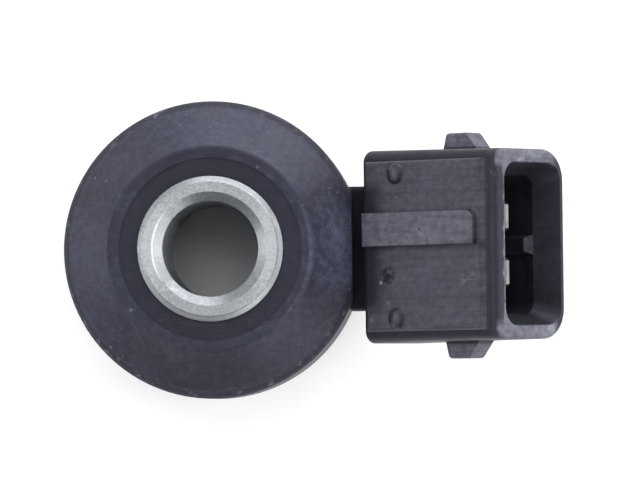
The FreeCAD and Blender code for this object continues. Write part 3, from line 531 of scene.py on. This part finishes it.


# Plated steel of the sleeve: turned, so it has fine rings, then zinc plated, so it is dull and finely
# mottled, with stains in clouds. A painted reflection makes the face lighter to the left and right of
# the bore and darker in front and behind, as turned rings reflect. Its two slopes, the bevel outside
# and the chamfer in the bore, carry painted highlights and painted shade in patches, and a pale
# painted highlight in two of them. A patch spreads from where its direction meets the slope.

steel = {
    "bright": (0.45, 0.47, 0.49, 1.0),
    "stainedAndShaded": (0.29, 0.305, 0.325, 1.0),
    "highlightColour": (0.82, 0.84, 0.86, 1.0),
    "bevel": (0.0061, 0.0062),
    "chamfer": (0.0053, 0.0052),
    # Painted highlights and painted shade on the slopes: a negative amount lightens, a positive one
    # darkens.
    "paintedLightPatches": (
        {"slope": "bevel", "towards": (0.87, -0.50, 0.0), "start": 0.5, "amount": -1.6},
        {"slope": "bevel", "towards": (-0.34, -0.94, 0.0), "start": 0.5, "amount": -0.9},
        {"slope": "bevel", "towards": (1.0, 0.0, 0.0), "start": 0.85, "amount": -0.5},
        {"slope": "bevel", "towards": (0.57, 0.82, 0.0), "start": 0.7, "amount": 0.6},
        {"slope": "bevel", "towards": (-1.0, 0.0, 0.0), "start": 0.85, "amount": 0.4},
        {"slope": "chamfer", "towards": (-0.99, 0.05, 0.0), "start": 0.76, "amount": -1.6},
    ),
    # Painted highlights in a pale grey, on the right of the bevel and the left of the chamfer.
    "paintedHighlights": (
        {"slope": "bevel", "towards": (1.0, 0.0, 0.0), "start": 0.85, "amount": 0.65},
        {"slope": "chamfer", "towards": (-0.99, 0.05, 0.0), "start": 0.76, "amount": 1.15},
    ),
    "mottle": {"scale": 3200.0, "detail": 5.0, "roughness": 0.7, "distortion": 0.3},
    "mottleEdge": (0.35, 0.72),
    "highlightMottle": (1.0, 0.6),
    "cloud": {"pair": (0.3, 0.7), "scale": 380.0},
    "cloudStain": 0.3,
    "sideways": (0.0, 1.0, 0.0),
    "sidewaysEdge": (0.25, 0.95),
    "sidewaysReflection": (-0.35, 0.35),
    "fine": {"pair": (0.3, 0.7), "scale": 4200.0, "roughness": 0.6},
    "rough": (0.44, 0.60),
    "chamferSmooth": -0.06,
    "ringBreaks": {"pair": (0.35, 0.65), "scale": 700.0, "detail": 2.0},
    "ringPitch": 0.00011,
    "ringDepth": 0.0000012,
    "grainDepth": 0.000003,
}


def slopePatches(tree, place, radius, slopes, patchList):  # the patches' amounts added up
    amounts = []
    for patch in patchList:
        share = sector(tree, place, radius, patch["towards"], (patch["start"], 1.0))
        amounts.append(product(tree, share, slopes[patch["slope"]], patch["amount"]))
    return added(tree, *amounts)


def steelMaterial():
    s = steel
    material, tree, surface, place = newMaterial("platedSteel", Metallic=1.0)
    radius, height = roundTheBore(tree, place)
    slopes = {name: fade(tree, radius, s[name]) for name in ("bevel", "chamfer")}
    grain = noise(tree, place, **s["mottle"])
    mottle = fade(tree, grain, s["mottleEdge"])
    # Painted reflection: the face is lighter to the left and right of the bore and darker in front
    # and behind.
    sideways = calculate(tree, "DIVIDE", reach(tree, place, s["sideways"]), radius)
    sideways = fade(tree, calculate(tree, "ABSOLUTE", sideways), s["sidewaysEdge"])
    stainAndPaintedLight = added(
        tree, mottle, product(tree, patches(tree, place, **s["cloud"]), s["cloudStain"]),
        span(tree, sideways, s["sidewaysReflection"]),
        slopePatches(tree, place, radius, slopes, s["paintedLightPatches"]))
    paintedHighlights = slopePatches(tree, place, radius, slopes, s["paintedHighlights"])
    paintedHighlights = product(tree, paintedHighlights, span(tree, mottle, s["highlightMottle"]))
    colour = blendColour(tree, stainAndPaintedLight, s["bright"], s["stainedAndShaded"])
    colour = blendColour(tree, paintedHighlights, colour, s["highlightColour"])

    rough = span(tree, patches(tree, place, **s["fine"]), s["rough"])
    rough = added(tree, rough, product(tree, slopes["chamfer"], s["chamferSmooth"]))
    rings = turnedRings(tree, radius, height, s["ringPitch"])
    rings = product(tree, rings, patches(tree, place, **s["ringBreaks"]))
    normal = bump(tree, rings, s["ringDepth"], bump(tree, grain, s["grainDepth"]))
    join(tree, surface, colour, rough, normal)
    return material


# Tin on the blades: dull silver with drawn lines along the blade, which leans
# as the connector does

tin = {
    "clean": (0.37, 0.37, 0.37, 1.0),
    "dull": (0.25, 0.25, 0.25, 1.0),
    "cloud": {"scale": 700.0, "detail": 4.0, "roughness": 0.6},
    "cloudEdge": (0.35, 0.7),
    "rough": (0.3, 0.5),
    "lineStretch": (300.0, 6000.0, 6000.0),
    "lineTurn": (0.0, connector["tilt"], 0.0),
    "lineDepth": 0.0000012,
}


def tinMaterial():
    s = tin
    material, tree, surface, place = newMaterial("tinnedBrass", Metallic=1.0)
    cloud = noise(tree, place, **s["cloud"])
    colour = blendColour(tree, fade(tree, cloud, s["cloudEdge"]), s["clean"], s["dull"])
    lines = noise(tree, stretched(tree, place, s["lineStretch"], s["lineTurn"]), 1.0)
    join(tree, surface, colour, span(tree, cloud, s["rough"]), bump(tree, lines, s["lineDepth"]))
    return material


# Pieces sealed inside: turned metals with rings, and dull solids with a fine
# grain, each in two tones that pass into each other in clouds

innerMetals = {
    "cloud": {"scale": 500.0, "detail": 4.0, "roughness": 0.6},
    "toneEdge": (0.35, 0.7),
    "ringDepth": 0.0000015,
    "finishes": {
        "contactBrass": {
            "tones": ((0.8, 0.62, 0.3, 1.0), (0.62, 0.45, 0.2, 1.0)),
            "ringPitch": 0.0002, "rough": (0.3, 0.5)},
        "bareSteel": {
            "tones": ((0.5, 0.5, 0.52, 1.0), (0.33, 0.33, 0.35, 1.0)),
            "ringPitch": 0.00025, "rough": (0.28, 0.48)},
        "springSteel": {
            "tones": ((0.2, 0.21, 0.25, 1.0), (0.12, 0.12, 0.15, 1.0)),
            "ringPitch": 0.0003, "rough": (0.3, 0.5)},
    },
}

innerSolids = {
    "cloud": {"detail": 5.0, "roughness": 0.6},
    "toneEdge": (0.35, 0.7),
    "finishes": {
        "insulatorFilm": {
            "tones": ((0.62, 0.5, 0.28, 1.0), (0.5, 0.38, 0.2, 1.0)),
            "scale": 800.0, "rough": (0.35, 0.50), "grainDepth": 0.000003},
        "piezoCeramic": {
            "tones": ((0.62, 0.6, 0.52, 1.0), (0.48, 0.46, 0.4, 1.0)),
            "scale": 1500.0, "rough": (0.5, 0.65), "grainDepth": 0.000005},
        "resistorLacquer": {
            "tones": ((0.35, 0.45, 0.42, 1.0), (0.25, 0.33, 0.3, 1.0)),
            "scale": 1200.0, "rough": (0.3, 0.45), "grainDepth": 0.000004},
    },
}


def innerMetalMaterial(name, finish):
    s = innerMetals
    material, tree, surface, place = newMaterial(name, Metallic=1.0)
    radius, height = roundTheBore(tree, place)
    cloud = noise(tree, place, **s["cloud"])
    colour = blendColour(tree, fade(tree, cloud, s["toneEdge"]), *finish["tones"])
    rings = turnedRings(tree, radius, height, finish["ringPitch"])
    join(tree, surface, colour, span(tree, cloud, finish["rough"]), bump(tree, rings, s["ringDepth"]))
    return material


def innerSolidMaterial(name, finish):
    s = innerSolids
    material, tree, surface, place = newMaterial(name, Metallic=0.0)
    cloud = noise(tree, place, finish["scale"], **s["cloud"])
    colour = blendColour(tree, fade(tree, cloud, s["toneEdge"]), *finish["tones"])
    grain = bump(tree, cloud, finish["grainDepth"])
    join(tree, surface, colour, span(tree, cloud, finish["rough"]), grain)
    return material


materials = {
    "blackMoulding": mouldingMaterial(),
    "platedSteel": steelMaterial(),
    "tinnedBrass": tinMaterial(),
}
for name, finish in innerMetals["finishes"].items():
    materials[name] = innerMetalMaterial(name, finish)
for name, finish in innerSolids["finishes"].items():
    materials[name] = innerSolidMaterial(name, finish)

finishOf = {
    "housing": "blackMoulding",
    "pressure_sleeve": "platedSteel",
    "insulating_tube": "insulatorFilm",
    "lower_insulating_disc": "insulatorFilm",
    "upper_insulating_disc": "insulatorFilm",
    "lower_contact_disc": "contactBrass",
    "upper_contact_disc": "contactBrass",
    "piezo_ring": "piezoCeramic",
    "seismic_mass": "bareSteel",
    "threaded_ring": "bareSteel",
    "disc_spring": "springSteel",
    "terminal_blade_left": "tinnedBrass",
    "terminal_blade_right": "tinnedBrass",
    "shunt_resistor": "resistorLacquer",
}

for name, finish in finishOf.items():
    mesh = nodes[name].data
    mesh.materials.clear()
    mesh.materials.append(materials[finish])
print("finishes set:", len(materials))


# Floor: a wide pale light table under the part, which keeps shadows faint. It
# gives off no light where the sleeve stands on it.

floorBoard = {
    "half": 1.5,
    "below": 0.00002,
    "colour": (0.66, 0.66, 0.665, 1.0),
    "rough": 0.9,
    "glossLevel": 0.1,
    "glowColour": (1.0, 1.0, 1.0, 1.0),
    "glow": 0.42,
    "glowFrom": (0.009, 0.010),
}


def makeFloor():
    s = floorBoard
    half = s["half"]
    corners = [(-half, -half), (half, -half), (half, half), (-half, half)]
    mesh = bpy.data.meshes.new("floorBoard")
    mesh.from_pydata([(x, y, -s["below"]) for x, y in corners], [], [(0, 1, 2, 3)])
    board = bpy.data.objects.new("floorBoard", mesh)
    scene.collection.objects.link(board)
    material, tree, surface, place = newMaterial(
        "floorPaint", Base_Color=s["colour"], Roughness=s["rough"],
        Specular_IOR_Level=s["glossLevel"], Emission_Color=s["glowColour"])
    radius = roundTheBore(tree, place)[0]
    glow = product(tree, fade(tree, radius, s["glowFrom"]), s["glow"])
    tree.links.new(glow, surface.inputs["Emission Strength"])
    mesh.materials.append(material)


makeFloor()


# Camera over the bore, a little towards the connector, as the photograph was taken

viewpoint = {
    "place": (0.0284, -0.01487, 0.670),
    "aim": (0.0091749, -0.0002619, 0.020),
    "roll": -0.0132865,
    "lens": 420.03,
    "sensor": 36.0,
    "clip": (0.05, 10.0),
}


def makeCamera():
    s = viewpoint
    place = Vector(s["place"])
    ahead = (Vector(s["aim"]) - place).normalized()
    right = ahead.cross(Vector((0.0, 1.0, 0.0))).normalized()
    up = right.cross(ahead)
    turn = Matrix.Rotation(s["roll"], 3, -ahead)
    axes = Matrix((turn @ right, turn @ up, -ahead)).transposed().to_4x4()
    data = bpy.data.cameras.new("viewpoint")
    data.lens = s["lens"]
    data.sensor_width = s["sensor"]
    data.clip_start, data.clip_end = s["clip"]
    camera = bpy.data.objects.new("viewpoint", data)
    camera.matrix_world = Matrix.Translation(place) @ axes
    scene.collection.objects.link(camera)
    scene.camera = camera


makeCamera()


# Soft studio light: rectangular panels stand round the part, each at its own
# turn from +X and its own rise over the floor, in a dim even room

studio = {
    "room": (0.93, 0.96, 1.0, 1.0),
    "roomStrength": 0.1,
    "reach": 0.60,
    "aim": (0.01, 0.0, 0.012),
    "panels": (
        {"name": "rightPanel", "turn": 0, "rise": 16, "size": (0.30, 0.30), "power": 0.84},
        {"name": "highRightPanel", "turn": 0, "rise": 45, "size": (0.30, 0.30), "power": 0.80},
        {"name": "backRightPanel", "turn": 55, "rise": 16, "size": (0.30, 0.30), "power": 1.90},
        {"name": "backPanel", "turn": 90, "rise": 16, "size": (0.30, 0.30), "power": 1.86},
        {"name": "backLeftPanel", "turn": 135, "rise": 30, "size": (0.30, 0.60), "power": 0.94},
        {"name": "leftPanel", "turn": 180, "rise": 16, "size": (0.30, 0.30), "power": 1.04},
        {"name": "frontLeftPanel", "turn": 225, "rise": 45, "size": (0.35, 0.35), "power": 1.33},
        {"name": "frontRightPanel", "turn": 310, "rise": 30, "size": (0.30, 0.60), "power": 1.75},
        {"name": "topPanel", "turn": 90, "rise": 70, "size": (0.30, 0.30), "power": 1.20},
    ),
}


def makePanel(panel):
    turn, rise = math.radians(panel["turn"]), math.radians(panel["rise"])
    flat = math.cos(rise)
    out = Vector((flat * math.cos(turn), flat * math.sin(turn), math.sin(rise)))
    data = bpy.data.lights.new(panel["name"], "AREA")
    data.shape = "RECTANGLE"
    data.size, data.size_y = panel["size"]
    data.energy = panel["power"]
    light = bpy.data.objects.new(panel["name"], data)
    light.location = Vector(studio["aim"]) + studio["reach"] * out
    light.rotation_euler = (-out).to_track_quat("-Z", "Y").to_euler()
    scene.collection.objects.link(light)


def makeRoom():
    world = bpy.data.worlds.new("paleRoom")
    world.use_nodes = True
    background = world.node_tree.nodes["Background"]
    background.inputs["Color"].default_value = studio["room"]
    background.inputs["Strength"].default_value = studio["roomStrength"]
    scene.world = world


makeRoom()
for panel in studio["panels"]:
    makePanel(panel)
scene.view_settings.view_transform = "Standard"
print("floor, camera and light set")
